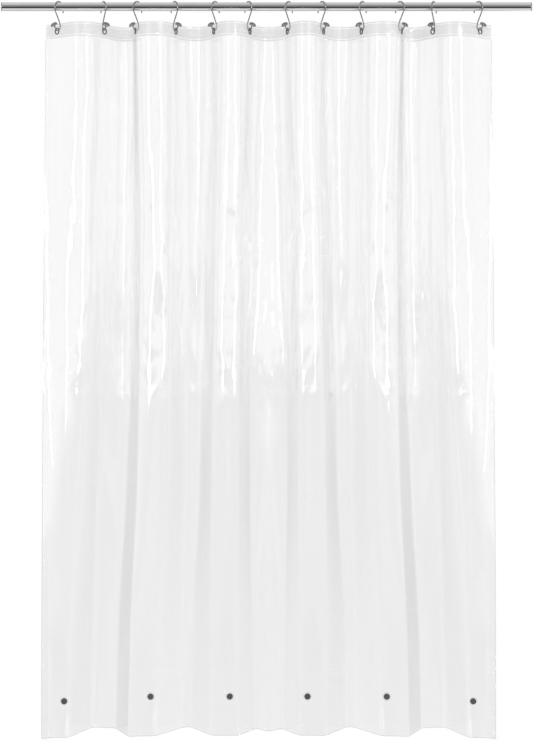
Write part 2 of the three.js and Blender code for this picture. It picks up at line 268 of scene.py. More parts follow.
def traced(headings):
    """Running x and y of a row, from the middle outwards."""
    middle = (headings[:-1] + headings[1:]) / 2
    x = np.concatenate([[0], np.cumsum(STEP * np.cos(middle))])
    y = np.concatenate([[0], np.cumsum(STEP * np.sin(middle))])
    return x, y


TOP_Y = traced(TOP_ROW)[1]
EYELET_BIAS = TOP_Y.mean() - TOP_Y[round(eyelet_along(0) / STEP)]


def relaxed(headings, z):
    """Headings eased down to a steepest one, which only the folds near the eyelets exceed."""
    share = smooth(HEADER_BOTTOM - 0.02, HEADER_BOTTOM - 0.4, z)
    limit = STEEPEST - EASING * smooth(*EASED_FOLDS, MARKS) * smooth(*EASING_FROM, z)
    eased = limit * np.tanh((np.abs(headings) / limit) ** 3) ** (1 / 3)
    return headings + (np.sign(headings) * eased - headings) * share


@lru_cache(maxsize=None)
def half_row(z):
    """x, y and heading at every step of the right half of the cloth at height z."""
    w = max(0.0, (HEADER_BOTTOM - z) / (HEADER_BOTTOM - CLOTH_BOTTOM))
    blend = TOP_ROW + (BOTTOM_ROW - TOP_ROW) * w
    edge = TOP_EDGE_OFFSET + (BOTTOM_EDGE_OFFSET - TOP_EDGE_OFFSET) * w
    g = solve(lambda k: edge - traced(relaxed(blend * k, z))[0][-1], 0.7, 1.8, 24) if w > 0 else 1.0
    headings = relaxed(blend * g, z)
    x, y = traced(headings)
    y = y - y.mean() + EYELET_PLANE_Y + (1 - w) * EYELET_BIAS
    return x, y, headings


def row(z, along):
    """x, y and heading of the cloth at height z, at signed distances along it."""
    x, y, headings = half_row(round(float(z), 5))
    along = np.asarray(along, float)
    place, side = np.abs(along), np.where(along < 0, -1.0, 1.0)
    return (
        CENTRE_X + side * np.interp(place, MARKS, x),
        np.interp(place, MARKS, y),
        side * np.interp(place, MARKS, headings),
    )


def magnet_places():
    """The six magnets from left to right: along the cloth, x, y and height on the film."""
    places = []
    for side in (-1, 1):
        for offset, height in zip(MAGNET_OFFSET[::side], MAGNET_HEIGHT[::side]):
            z = CLOTH_BOTTOM + height * MM
            s = side * solve(lambda a: row(z, a)[0] - CENTRE_X - offset * MM, 0, HALF, 24)
            x, y, _ = row(z, s)
            places.append((s, float(x), float(y), z))
    return places


MAGNETS = magnet_places()
# how far from a magnet the film is held to it, across and up: not at all from the first figure
# outwards, and fully within the second
BESIDE_ACROSS, BESIDE_UP = (60 * MM, 27 * MM), (220 * MM, 15 * MM)
UNDER_ACROSS, UNDER_UP = (30 * MM, 13.5 * MM), (100 * MM, 13.5 * MM)


def settled(x, y, z):
    """y of the film, drawn flat under each magnet and kept behind its plane on either side."""
    for _, x0, y0, z0 in MAGNETS:
        across, up = np.abs(x - x0), np.abs(z - z0)
        beside = smooth(*BESIDE_ACROSS, across) * smooth(*BESIDE_UP, up)
        y = y + beside * np.maximum(0, y0 - y)
        under = smooth(*UNDER_ACROSS, across) * smooth(*UNDER_UP, up)
        y = y - under * np.minimum(y - y0, DRAWN_FORWARD)
    return y


# ---------------------------------------------------------------- crinkles

CREASE_Z = -1.417  # a packing crease that has not dropped out
CREASE_DEPTH = 0.7 * MM
CREASE_SPREAD = 3 * MM
WANDER_DEPTH = 2.7 * MM  # ridges that wander along the folds' crests
KINK_DEPTH = 0.9 * MM  # sharp-edged lines among them
FLANK_DEPTH = 0.3 * MM  # weak ridges on flanks and crests alike
SWAY_DEPTH = 2 * MM  # broad waves, over all of the film below the header
# no crinkles within the first of these from a magnet, and all of them beyond the second, where a
# distance across counts half
CALM = (14 * MM, 50 * MM)
FOLDS_DENTED = range(1, 6)  # counted from the middle outwards, where number 0 has no dents
# mean height of each dent, and how far it strays from that
PINCHES = [(-0.49, 0.02)] + [(-1.0, 0.012)] * 6
BUCKLES = [(-0.55, 0.04), (-0.72, 0.04), (-0.9, 0.04)]


def crinkle(along, z):
    """How far the film stands off its folds, along its normal, at points of the flat sheet."""
    along = np.abs(along)
    free = smooth(HEADER_BOTTOM, HEADER_BOTTOM - 0.12, z)
    crest = np.cos(np.pi * along / EYELET_PITCH) ** 2
    wander = WANDER_DEPTH * noise(along / 0.032 + 3.1, z / 0.18 + along / 0.8, 11)
    kink = KINK_DEPTH * np.abs(noise(along / 0.03 + 1.7, z / 0.09 + along / 0.3, 12))
    flank = FLANK_DEPTH * noise(along / 0.03 + 5.0, z / 0.2, 13)
    sway = SWAY_DEPTH * noise(along / 0.11 + 9.0, z / 0.7, 15)
    patchy = smooth(-0.2, 0.3, noise(along / 0.03, z, 16))
    crease = CREASE_DEPTH * np.exp(-(((z - CREASE_Z) / CREASE_SPREAD) ** 2)) * patchy
    slack = slackness(z) * (crest * (wander + kink) + flank)
    calm = 1.0
    for s0, _, _, z0 in MAGNETS[len(MAGNET_OFFSET) :]:  # the right half's, which the left mirrors
        calm = calm * smooth(*CALM, np.hypot((along - s0) * 0.5, z - z0))
    return calm * (slack + free * (sway + crease + dents(along, z)))


def dents(along, z):
    """Buckles down the crest of each fold, and short slanting pinches where they end."""
    rng = np.random.default_rng(21)
    total = np.zeros(np.broadcast(along, z).shape)
    kinds = [(*pinch, 1, 1) for pinch in PINCHES] + [(*buckle, 6, 2) for buckle in BUCKLES]
    for k in FOLDS_DENTED:
        for level, spread, longer, wider in kinds:
            s0 = EYELET_PITCH * k + rng.choice([-1, 1]) * rng.uniform(4, 22) * MM
            z0 = level + rng.normal(0, spread)
            lean = rng.uniform(-0.5, 0.5)
            length = rng.uniform(7, 16) * MM * longer
            width = rng.uniform(3.5, 6) * MM * wider
            depth = rng.uniform(0.7, 1.5) * MM
            across = (along - s0) - lean * (z - z0)
            total = total + depth * np.exp(-((across / width) ** 2) - ((z - z0) / length) ** 2)
    return total


# ---------------------------------------------------------------- mesh helpers


def mesh_object(name, verts, faces, material, sharp=False):
    """A new object with smooth faces, or with flat ones where sharp."""
    mesh = bpy.data.meshes.new(name)
    mesh.from_pydata([tuple(v) for v in verts], [], faces)
    mesh.validate()
    mesh.materials.append(material)
    obj = bpy.data.objects.new(name, mesh)
    bpy.context.collection.objects.link(obj)
    if not sharp:
        mesh.polygons.foreach_set("use_smooth", [True] * len(mesh.polygons))
    return obj


def grid_faces(rows, columns, wrap=False):
    """Quads over a grid of points, row by row; wrap closes each row on itself."""
    span = columns if wrap else columns - 1
    r, c = np.meshgrid(np.arange(rows - 1), np.arange(span), indexing="ij")
    c1 = (c + 1) % columns
    here = r * columns
    below = here + columns
    return np.stack([here + c, below + c, below + c1, here + c1], -1).reshape(-1, 4)


def film(name, along, heights, out, materials, pick=None, holes=()):
    """One layer of film over the folds, with round holes at (along, z) points.

    pick says which of the materials the film has at a point.
    """
    verts = np.empty((len(heights), len(along), 3))
    for i, z in enumerate(heights):
        x, y, heading = row(z, along)
        stand = out(along, np.full_like(along, z))
        x, y = x + stand * np.sin(heading), y - stand * np.cos(heading)
        verts[i] = np.column_stack([x, settled(x, y, z), np.full_like(x, z)])
    grid_s, grid_z = np.meshgrid(along, heights)
    for s0, z0 in holes:
        push_out(verts, grid_s, grid_z, s0, z0)
    faces = grid_faces(len(heights), len(along))
    keep = np.ones(len(faces), bool)
    for s0, z0 in holes:
        reach = np.hypot(grid_s.ravel() - s0, grid_z.ravel() - z0)
        keep &= ~(reach[faces] < EYELET_HOLE * HOLE_CUT).any(1)
    faces = faces[keep]
    used, index = np.unique(faces, return_inverse=True)
    obj = mesh_object(name, verts.reshape(-1, 3)[used], index.reshape(-1, 4).tolist(), materials[0])
    for material in materials[1:]:
        obj.data.materials.append(material)
    if pick:
        middles = zip(grid_s.ravel()[faces].mean(1), grid_z.ravel()[faces].mean(1))
        obj.data.polygons.foreach_set("material_index", [int(pick(*middle)) for middle in middles])
    return obj


def push_out(verts, grid_s, grid_z, s0, z0):
    """Moves the grid's points round a hole towards its rim, the nearest ones onto it."""
    reach = np.hypot(grid_s - s0, grid_z - z0) / EYELET_HOLE
    for i, j in zip(*np.nonzero((reach >= HOLE_CUT) & (reach < HOLE_PULL))):
        ds, dz = grid_s[i, j] - s0, grid_z[i, j] - z0
        r = math.hypot(ds, dz)
        share = (HOLE_PULL - r / EYELET_HOLE) / (HOLE_PULL - HOLE_CUT)
        target = r + (EYELET_HOLE - r) * share
        x, y, _ = row(CLOTH_TOP, np.array([s0 + ds * target / r]))
        off = verts[i, j, :2] - np.array(row(CLOTH_TOP, np.array([grid_s[i, j]]))[:2]).ravel()
        verts[i, j] = (x[0] + off[0], y[0] + off[1], z0 + dz * target / r)


def close_up(obj):
    """Merges doubled points and turns every face outwards."""
    bm = bmesh.new()
    bm.from_mesh(obj.data)
    bmesh.ops.remove_doubles(bm, verts=bm.verts, dist=1e-7)
    bmesh.ops.recalc_face_normals(bm, faces=bm.faces)
    bm.to_mesh(obj.data)
    bm.free()


def turned(name, profile, material, segments, place):
    """A body turned about local +Z from a profile of (radius, height).

    It is closed where the profile ends on the axis or where it began.
    """
    profile = np.array(profile)
    angles = np.arange(segments) * 2 * math.pi / segments
    radius, height = profile[:, 0][:, None], profile[:, 1][:, None]
    verts = np.stack([radius * np.cos(angles), radius * np.sin(angles), height + 0 * angles], -1)
    faces = grid_faces(len(profile), segments, wrap=True).tolist()
    if np.allclose(profile[0], profile[-1]):
        verts = verts[:-1]
        count = (len(profile) - 1) * segments
        faces = [[v % count for v in face] for face in faces]
    obj = mesh_object(name, verts.reshape(-1, 3), faces, material)
    close_up(obj)
    obj.data.transform(place)
    return obj


def arc(r, z, radius, start, end, steps=6):
    """Points of a profile's round corner, between two angles in degrees."""
    angles = np.radians(np.linspace(start, end, steps + 1))
    return [(r + radius * math.cos(a), z + radius * math.sin(a)) for a in angles]


# rings of a wire's rounded end, as shares of its radius: how far back from the tip, and how wide
WIRE_TIP = [(0, 0.02), (0.0784, 0.4), (0.294, 0.714), (0.6076, 0.925)]


def tube(name, path, radius, material, sides):
    """A round wire along a path in the XZ plane, with rounded ends."""
    path = np.array(path)
    tangent = np.gradient(path, axis=0)
    tangent /= np.linalg.norm(tangent, axis=1)[:, None]
    side = np.array([0.0, 1.0, 0.0])
    rings = [(path[0] + tangent[0] * radius * back, tangent[0], wide) for back, wide in WIRE_TIP]
    rings += [(point, direction, 1.0) for point, direction in zip(path[1:-1], tangent[1:-1])]
    for back, wide in reversed(WIRE_TIP):
        rings.append((path[-1] - tangent[-1] * radius * back, tangent[-1], wide))
    angles = np.arange(sides) * 2 * math.pi / sides
    verts = []
    for point, direction, scale in rings:
        up = np.cross(direction, side)
        for a in angles:
            verts.append(point + radius * scale * (math.cos(a) * side + math.sin(a) * up))
    faces = grid_faces(len(rings), sides, wrap=True).tolist()
    last = len(verts) - sides
    faces += [list(range(sides)), list(range(last, last + sides))[::-1]]
    obj = mesh_object(name, verts, faces, material)
    close_up(obj)
    return obj


def facing(x, y, z, yaw):
    """Local +X is horizontal and points at the room, turned by yaw; local +Z is up."""
    forward = Vector((math.sin(yaw), -math.cos(yaw), 0))
    up = Vector((0, 0, 1))
    side = up.cross(forward)
    matrix = Matrix((forward, side, up)).transposed().to_4x4()
    matrix.translation = (x, y, z)
    return matrix


# ---------------------------------------------------------------- materials


class Nodes:
    """Short calls for building a material's node tree."""

    def __init__(self, name):
        self.material = bpy.data.materials.new(name)
        self.material.use_nodes = True
        self.tree = self.material.node_tree
        self.tree.nodes.clear()
        self.output = self.add("ShaderNodeOutputMaterial")

    def add(self, kind, settings=None, **inputs):
        node = self.tree.nodes.new(kind)
        for key, value in (settings or {}).items():
            setattr(node, key, value)
        for key, value in inputs.items():
            self.set(node.inputs[key.replace("_", " ")], value)
        return node

    def set(self, socket, value):
        if isinstance(value, bpy.types.NodeSocket):
            self.tree.links.new(value, socket)
        elif isinstance(value, bpy.types.Node):
            self.tree.links.new(value.outputs[0], socket)
        else:
            socket.default_value = value

    def stretched(self, scale):
        """Object coordinates, stretched by a scale on each axis."""
        where = self.add("ShaderNodeTexCoord")
        mapping = self.add("ShaderNodeMapping", Scale=scale)
        self.set(mapping.inputs["Vector"], where.outputs["Object"])
        return mapping.outputs[0]

    def noise(self, scale, stretch=(1, 1, 1), detail=4, rough=0.55):
        node = self.add("ShaderNodeTexNoise", Scale=scale, Detail=detail, Roughness=rough)
        self.set(node.inputs["Vector"], self.stretched(stretch))
        return node.outputs["Fac"]

    def ramp(self, value, *stops):
        node = self.add("ShaderNodeValToRGB", Fac=value)
        while len(node.color_ramp.elements) < len(stops):
            node.color_ramp.elements.new(0.5)
        for element, (place, shade) in zip(node.color_ramp.elements, stops):
            element.position = place
            element.color = (*shade, 1)
        return node.outputs["Color"]

    def range(self, value, low, high, to_low, to_high):
        node = self.add("ShaderNodeMapRange", Value=value)
        ends = {"From Min": low, "From Max": high, "To Min": to_low, "To Max": to_high}
        for key, end in ends.items():
            node.inputs[key].default_value = end
        return node.outputs[0]

    def math(self, operation, a, b=0.0):
        node = self.add("ShaderNodeMath", {"operation": operation})
        self.set(node.inputs[0], a)
        self.set(node.inputs[1], b)
        return node.outputs[0]

    def bump(self, height, strength, distance):
        node = self.add("ShaderNodeBump", Height=height, Strength=strength, Distance=distance)
        return node.outputs[0]

    def away_from(self, value, level):
        """How far a value is from a level, on either side of it."""
        return self.math("ABSOLUTE", self.math("SUBTRACT", value, level))

    def height_up(self):
        """How high a point is in its object, which is its height in the frame."""
        return self.add("ShaderNodeSeparateXYZ", Vector=self.stretched((1, 1, 1))).outputs["Z"]

    def mix(self, share, first, second):
        node = self.add("ShaderNodeMixShader")
        for socket, value in zip(node.inputs, (share, first, second)):
            self.set(socket, value)
        return node

    def finish(self, shader):
        self.set(self.output.inputs["Surface"], shader)
        return self.material


# bands of crushed creases: each one's height on the film, its reach up and down, and its depth
CRUSHED = ((-1.0, 0.035, 0.02), (-0.49, 0.03, 0.009), (-0.8, 0.03, 0.005))
RIDGES_Z = -0.6
RIDGES_REACH = (0.3, 0.48)  # full strength within the first of these, none beyond the second
RIDGES_DEPTH = 0.011
MILK = (0.93, 0.935, 0.94, 1)  # what the film scatters


def creases(n):
    """The height of small crushed creases, in bands where the slack film has folded over."""
    z = n.height_up()
    crushed = n.away_from(n.noise(95, (1, 1, 0.7), detail=2), 0.5)
    total = 0.0
    for level, reach, depth in CRUSHED:
        near = n.range(n.away_from(z, level), 0.0, reach, 1.0, 0.0)
        total = n.math("ADD", n.math("MULTIPLY", n.math("MULTIPLY", near, crushed), depth), total)
    return n.math("MULTIPLY", total, n.range(n.noise(11), 0.5, 0.62, 0.0, 1.0))


def ridges(n):
    """The height of long thin ridges, which run down the slack part of the film and waver."""
    line = n.away_from(n.noise(28, (1, 1, 0.22), detail=2), 0.5)
    near = n.range(n.away_from(n.height_up(), RIDGES_Z), *RIDGES_REACH, 1.0, 0.0)
    return n.math("MULTIPLY", n.math("MULTIPLY", line, near), RIDGES_DEPTH)


def film_material(name, through, haze, rough, shine=1.0, ripple=0.0004, creased=False):
    """Clear plastic film: it lets light through, scatters a little and mirrors at its faces."""
    n = Nodes(name)
    fine = n.noise(60, (1, 1, 0.4), detail=3)
    broad = n.noise(7, (1, 1, 0.3))
    height = n.math("MULTIPLY", fine, ripple)
    if creased:
        height = n.math("ADD", height, n.math("ADD", creases(n), ridges(n)))
    normal = n.bump(height, 0.35, 1.0)
    tint = n.range(broad, 0.3, 0.7, through * 0.99, min(1.0, through * 1.01))
    grey = n.add("ShaderNodeCombineColor", Red=tint, Green=tint, Blue=tint)
    clear = n.add("ShaderNodeBsdfTransparent", Color=grey)
    scatter = n.add("ShaderNodeBsdfDiffuse", Color=MILK, Normal=normal)
    glow = n.add("ShaderNodeBsdfTranslucent", Color=MILK, Normal=normal)
    milky = n.mix(0.5, scatter, glow)
    body = n.mix(n.range(fine, 0.35, 0.65, haze * 0.85, haze * 1.15), clear, milky)
    fresnel = n.add("ShaderNodeFresnel", IOR=1.6, Normal=normal).outputs[0]
    both = n.math("SUBTRACT", 1.0, n.math("POWER", n.math("SUBTRACT", 1.0, fresnel), 2.0))
    gloss = n.add("ShaderNodeBsdfGlossy", Color=(1, 1, 1, 1), Normal=normal)
    n.set(gloss.inputs["Roughness"], n.range(broad, 0.3, 0.7, rough * 0.8, rough * 1.25))
    return n.finish(n.mix(n.math("MULTIPLY", both, shine), body, gloss))


def metal_material(name, colour, rough, grain, stretch, dull=0.0):
    """Plated metal with a fine drawn grain and slightly uneven polish."""
    n = Nodes(name)
    fine = n.noise(grain, stretch, detail=8, rough=0.6)
    broad = n.noise(35)
    duller = tuple(c * (0.94 - dull) for c in colour)
    shade = n.ramp(n.range(broad, 0.3, 0.7, 0.0, 1.0), (0.0, duller), (1.0, colour))
    principled = n.add("ShaderNodeBsdfPrincipled", Metallic=1.0)
    n.set(principled.inputs["Base Color"], shade)
    n.set(principled.inputs["Roughness"], n.range(fine, 0.3, 0.7, rough * 0.8, rough * 1.3))
    n.set(principled.inputs["Normal"], n.bump(fine, 0.15, 0.00005))
    return n.finish(principled)


def matt_material(name, colour, rough):
    """Moulded plastic or ferrite: a fine speckle and an uneven sheen."""
    n = Nodes(name)
    fine = n.noise(400, detail=6)
    darker = tuple(c * 0.75 for c in colour)
    lighter = tuple(c * 1.25 for c in colour)
    shade = n.ramp(fine, (0.3, darker), (0.7, lighter))
    principled = n.add("ShaderNodeBsdfPrincipled")
    n.set(principled.inputs["Base Color"], shade)
    n.set(principled.inputs["Roughness"], n.range(fine, 0.3, 0.7, rough * 0.85, rough * 1.15))
    n.set(principled.inputs["Normal"], n.bump(fine, 0.4, 0.00008))
    return n.finish(principled)


# the hooks' chrome, darkened well below the rod's to stand in for the darker surroundings that the
# wires and caps mirror: painted shade in the metal's colour
SHADED_CHROME_COLOUR = (0.24, 0.243, 0.25)
FILM = film_material("clear_film", 0.905, 0.05, 0.05, ripple=0.00005, creased=True)
BACKING_FILM = film_material("backing_film", 0.91, 0.05, 0.3, 0.25)
HEADER_FILM = film_material("header_film", 0.82, 0.1, 0.35, 0.45)
WELD_FILM = film_material("weld_film", 1.0, 0.04, 0.2, 0.4)
HEM_FILM = film_material("hem_film", 0.99, 0.02, 0.1, 0.15, ripple=0.0001)
EDGE_FILM = film_material("edge_film", 0.6, 0.2, 0.15, 0.5)
POCKET_FILM = film_material("pocket_film", 0.95, 0.08, 0.3, 0.5)
ROD_CHROME = metal_material("rod_chrome", (0.63, 0.635, 0.64), 0.04, 900, (0.02, 1, 1))
WIRE_CHROME = metal_material("wire_chrome", SHADED_CHROME_COLOUR, 0.14, 700, (1, 1, 0.1))
CAP_CHROME = metal_material("cap_chrome", SHADED_CHROME_COLOUR, 0.24, 800, (1, 1, 1), dull=0.2)
EYELET_NICKEL = metal_material("eyelet_nickel", (0.2, 0.203, 0.21), 0.28, 900, (1, 1, 1), dull=0.2)
FERRITE = matt_material("ferrite", (0.035, 0.035, 0.038), 0.5)
END_PLASTIC = matt_material("end_plastic", (0.1, 0.1, 0.105), 0.5)

# ---------------------------------------------------------------- stations along the rod


def stations():
    """The twelve eyelets from left to right: along the cloth, place, heading and hook's turn."""
    order = [(k, -1) for k in range(5, -1, -1)] + [(k, 1) for k in range(6)]
    found = []
    for k, side in order:
        s = side * eyelet_along(k)
        x, y, _ = row(CLOTH_TOP, np.array([s - EYELET_FLAT, s + EYELET_FLAT]))
        heading = math.atan2(y[1] - y[0], x[1] - x[0])
        yaw = math.copysign(math.radians(HOOK_YAW[k]), heading)
        found.append({"along": s, "x": x.mean(), "y": y.mean(), "heading": heading, "yaw": yaw})
    return found


STATIONS = stations()

# ---------------------------------------------------------------- rod


def make_rod():
    """A thin tube with a plug in each end."""
    start = END_FLANGE + END_GAP
    end = ROD_LENGTH - start
    lip = 0.25 * MM
    behind_lip = 1 * MM  # a ring here keeps the lip's shading off the tube
    bore = ROD_RADIUS - ROD_WALL
    profile = [(bore, start + lip), (bore + lip, start), (ROD_RADIUS - lip, start)]
    profile += [(ROD_RADIUS, start + lip), (ROD_RADIUS, start + behind_lip)]
    profile += [(ROD_RADIUS, start + (end - start) * i / 24) for i in range(1, 24)]
    profile += [(ROD_RADIUS, end - behind_lip), (ROD_RADIUS, end - lip), (ROD_RADIUS - lip, end)]
    profile += [(bore + lip, end), (bore, end - lip)]
    profile += [(bore, end - behind_lip), (bore, start + behind_lip)]
    profile.append(profile[0])
    along_x = Matrix.Rotation(math.pi / 2, 4, "Y")
    rod = turned("rod", profile, ROD_CHROME, 96, along_x)
    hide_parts("rod_tube")
    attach(rod, "rod")

    plug = bore - END_GAP
    depth = END_FLANGE + 8 * MM
    edge, bevel = 0.5 * MM, 0.8 * MM
    face = [(0, 0), (ROD_RADIUS - edge, 0)] + arc(ROD_RADIUS - edge, edge, edge, -90, 0)
    face += [(ROD_RADIUS, END_FLANGE), (plug, END_FLANGE)]
    face += [(plug, depth - bevel), (plug - bevel, depth), (0, depth)]
    right = Matrix.Translation((ROD_LENGTH, 0, 0)) @ Matrix.Rotation(-math.pi / 2, 4, "Y")
    for side, place in (("left", along_x), ("right", right)):
        cap = turned(f"end_plug_{side}", face, END_PLASTIC, 64, place)
        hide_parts(f"rod_end_cap_{side}")
        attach(cap, "rod")


# ---------------------------------------------------------------- cloth


FINE_REACH = 12 * MM  # on either side of an eyelet
FINE_PITCH, COARSE_PITCH = 2 * MM, 3.4 * MM
HEADER_STAND, HEM_STAND = 0.8 * MM, 0.7 * MM  # in front of the sheet


def along_lines():
    """Where the film's grid has its upright lines: closer together round each eyelet."""
    lines = [-HALF, HALF]
    sides = [s["along"] + side * FINE_REACH for s in STATIONS for side in (-1, 1)]
    edges = [-HALF, *sides, HALF]
    for i, (a, b) in enumerate(zip(edges, edges[1:])):
        pitch = FINE_PITCH if i % 2 else COARSE_PITCH
        lines += list(np.linspace(a, b, max(2, round((b - a) / pitch) + 1)))
    lines += [EDGE_WIDTH - HALF, HALF - EDGE_WIDTH]
    return np.unique(np.round(lines, 7))


def make_cloth():
    """The sheet, the header band in front of its top, and a narrow hem down each side."""
    lines = along_lines()
    header_rows = np.linspace(CLOTH_TOP, HEADER_BOTTOM, 9)
    slack_rows = np.linspace(HEADER_BOTTOM, SLACK_BOTTOM, 118)[1:]
    straight_rows = np.linspace(SLACK_BOTTOM, CLOTH_BOTTOM + EDGE_WIDTH, 36)[1:]
    lower_rows = np.concatenate([slack_rows, straight_rows, [CLOTH_BOTTOM]])
    rows = np.concatenate([header_rows, lower_rows])
    holes = [(s["along"], EYELET_Z) for s in STATIONS]

    def by_place(along, z):  # 0 is bare film, 1 lies behind the header, 2 is a cut edge
        if z > HEADER_BOTTOM:
            return 1
        return 2 if abs(along) > HALF - EDGE_WIDTH or z < CLOTH_BOTTOM + EDGE_WIDTH else 0

    sheet = film("film", lines, rows, crinkle, [FILM, BACKING_FILM, EDGE_FILM], by_place, holes)

    def at_weld(along, z):
        return any(abs(z - weld) < WELD_HEIGHT / 2 for weld in WELDS)

    def on_header(along, z):
        press = sum(np.exp(-(((z - weld) / WELD_HEIGHT) ** 2)) for weld in WELDS)
        return HEADER_STAND - 0.2 * MM * press + 0.1 * MM * noise(along / 0.02, z / 0.012, 31)

    band_rows = list(np.linspace(CLOTH_TOP, HEADER_BOTTOM + 1 * MM, 34))
    for weld in WELDS:
        band_rows += [weld - WELD_HEIGHT / 2, weld + WELD_HEIGHT / 2]
    band_rows = np.sort(band_rows)[::-1]
    band = film("header", lines, band_rows, on_header, [HEADER_FILM, WELD_FILM], at_weld, holes)

    def on_edge(along, z):
        return crinkle(along, z) + HEM_STAND

    hems = []
    for side, (a, b) in (("left", (-HALF, HEM_WIDTH - HALF)), ("right", (HALF - HEM_WIDTH, HALF))):
        hem = film(f"hem_{side}", np.linspace(a, b, 7), lower_rows, on_edge, [HEM_FILM])
        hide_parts(f"side_hem_{side}")
        hems.append(hem)
    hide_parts("curtain_sheet")
    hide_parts("header_band")
    for piece in (sheet, band, *hems):
        SOFT.objects.link(piece)
        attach(piece, "curtain")
        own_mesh(piece)


# ---------------------------------------------------------------- eyelets


def make_eyelets():
    """Crowned rings, rolled round the film's holes from the front."""
    outer, bore = 9.0 * MM, 6.0 * MM
    back, front = -0.2 * MM, 1.1 * MM
    crown = 0.75 * MM
    middle = (outer + bore) / 2 + 0.3 * MM
    profile = arc(outer - 0.4 * MM, front + 0.3 * MM, 0.4 * MM, -90, 60)
    profile += [(middle, front + crown + 0.25 * MM)]
    profile += arc(bore + 0.7 * MM, front + crown - 0.5 * MM, 0.7 * MM, 80, 180)
    profile += arc(bore + 0.5 * MM, back - 0.5 * MM, 0.5 * MM, 180, 280)
    profile += arc(outer - 0.5 * MM, back - 0.4 * MM, 0.35 * MM, -90, 90, 4)
    profile += [(bore + 0.8 * MM, back), (bore + 0.8 * MM, front)]
    profile.append(profile[0])
    toward = Matrix.Rotation(math.pi / 2, 4, "Y")
    for i, s in enumerate(STATIONS):
        place = facing(s["x"], s["y"], EYELET_Z, s["heading"]) @ toward
        ring = turned(f"eyelet_ring_{i + 1:02d}", profile, EYELET_NICKEL, 48, place)
        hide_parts(f"eyelet_{i + 1:02d}")
        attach(ring, f"eyelet_{i + 1:02d}")


# ---------------------------------------------------------------- hooks


PER_SPAN = 9  # points of a curve between two that it passes through


def through(points):
    """A smooth centripetal curve through points in the hook's plane."""
    points = [np.array(p, float) for p in points]
    points = [2 * points[0] - points[1], *points, 2 * points[-1] - points[-2]]
    path = []
    for p0, p1, p2, p3 in zip(points, points[1:], points[2:], points[3:]):
        gaps = [np.linalg.norm(b - a) for a, b in ((p0, p1), (p1, p2), (p2, p3))]
        t = np.cumsum([0, *np.sqrt(gaps)])
        for m in np.linspace(t[1], t[2], PER_SPAN, endpoint=False):
            a1 = p0 + (p1 - p0) * (m - t[0]) / (t[1] - t[0])
            a2 = p1 + (p2 - p1) * (m - t[1]) / (t[2] - t[1])
            a3 = p2 + (p3 - p2) * (m - t[2]) / (t[3] - t[2])
            b1 = a1 + (a2 - a1) * (m - t[0]) / (t[2] - t[0])
            b2 = a2 + (a3 - a2) * (m - t[1]) / (t[3] - t[1])
            path.append(b1 + (b2 - b1) * (m - t[1]) / (t[2] - t[1]))
    return path + [points[-2]]


def hook_path():
    """The wire's centre line in its own plane: u forward, z up."""
    arch_z = ROD_RADIUS + HOOK_WIRE + 1 * MM - HOOK_ARCH
    hole_z = EYELET_Z + 1.4 * MM
    tail_z = -15 * MM
    tail = [(-HOOK_ARCH, tail_z + (arch_z - tail_z) * i / 5) for i in range(5)]
    over = [
        (-HOOK_ARCH * math.cos(a), arch_z + HOOK_ARCH * math.sin(a))
        for a in np.linspace(0, math.pi, 29)[:-1]
    ]
    front = through(
        [
            (HOOK_ARCH, arch_z),
            (HOOK_ARCH - 0.6 * MM, -9.5 * MM),
            (7.2 * MM, -25 * MM),
            (-2.8 * MM, -41.5 * MM),
            (-5 * MM, -50 * MM),
            (-1.6 * MM, hole_z + 3 * MM),
            (HOOK_HOLE_U - 0.8 * MM, hole_z),
            (13.8 * MM, -57.4 * MM),
            STEM_END,
        ]
    )
    return [(u, 0, z) for u, z in [*tail, *over, *front]]


def cap_profile():
    """A domed cap with a rolled rim and a small collar round the stem."""
    radius, height = 9.4 * MM, 4.5 * MM
    collar, collar_end, edge = 3.1 * MM, -1.1 * MM, 0.4 * MM
    socket, sink = 1.75 * MM, 2.4 * MM
    profile = [(0, sink), (socket, sink), (socket, collar_end), (collar - edge, collar_end)]
    profile += arc(collar - edge, collar_end + edge, edge, -90, 0, 3)
    profile += [(collar, 0.1 * MM), (radius - 1.4 * MM, 0.35 * MM)]
    profile += arc(radius - 0.6 * MM, 0.6 * MM, 0.6 * MM, -120, 60, 8)
    foot = 1.1 * MM
    for angle in np.linspace(0.12, math.pi / 2, 12)[:-1]:
        out, up = 0.94 * radius * math.cos(angle), (height - foot) * math.sin(angle)
        profile.append((out, foot + up))
    return profile + [(0, height)]


def make_hooks():
    """A bent wire over the rod and through each eyelet, with a cap on its front end."""
    path = hook_path()
    profile = cap_profile()
    seat = Vector((STEM_END[0], 0, STEM_END[1]))
    seat -= Vector((math.cos(CAP_SLOPE), 0, math.sin(CAP_SLOPE))) * CAP_SINK
    on_stem = Matrix.Translation(seat) @ Matrix.Rotation(math.pi / 2 - CAP_SLOPE, 4, "Y")
    for i, s in enumerate(STATIONS):
        name = f"{i + 1:02d}"
        place = facing(s["x"] - HOOK_HOLE_U * math.sin(s["yaw"]), 0, 0, s["yaw"])
        wire = tube(f"wire_{name}", path, HOOK_WIRE, WIRE_CHROME, 16)
        wire.data.transform(place)
        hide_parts(f"hook_wire_{name}")
        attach(wire, f"hook_{name}")
        cap = turned(f"cap_{name}", profile, CAP_CHROME, 48, place @ on_stem)
        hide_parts(f"hook_cap_{name}")
        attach(cap, f"hook_{name}")


# ---------------------------------------------------------------- magnets


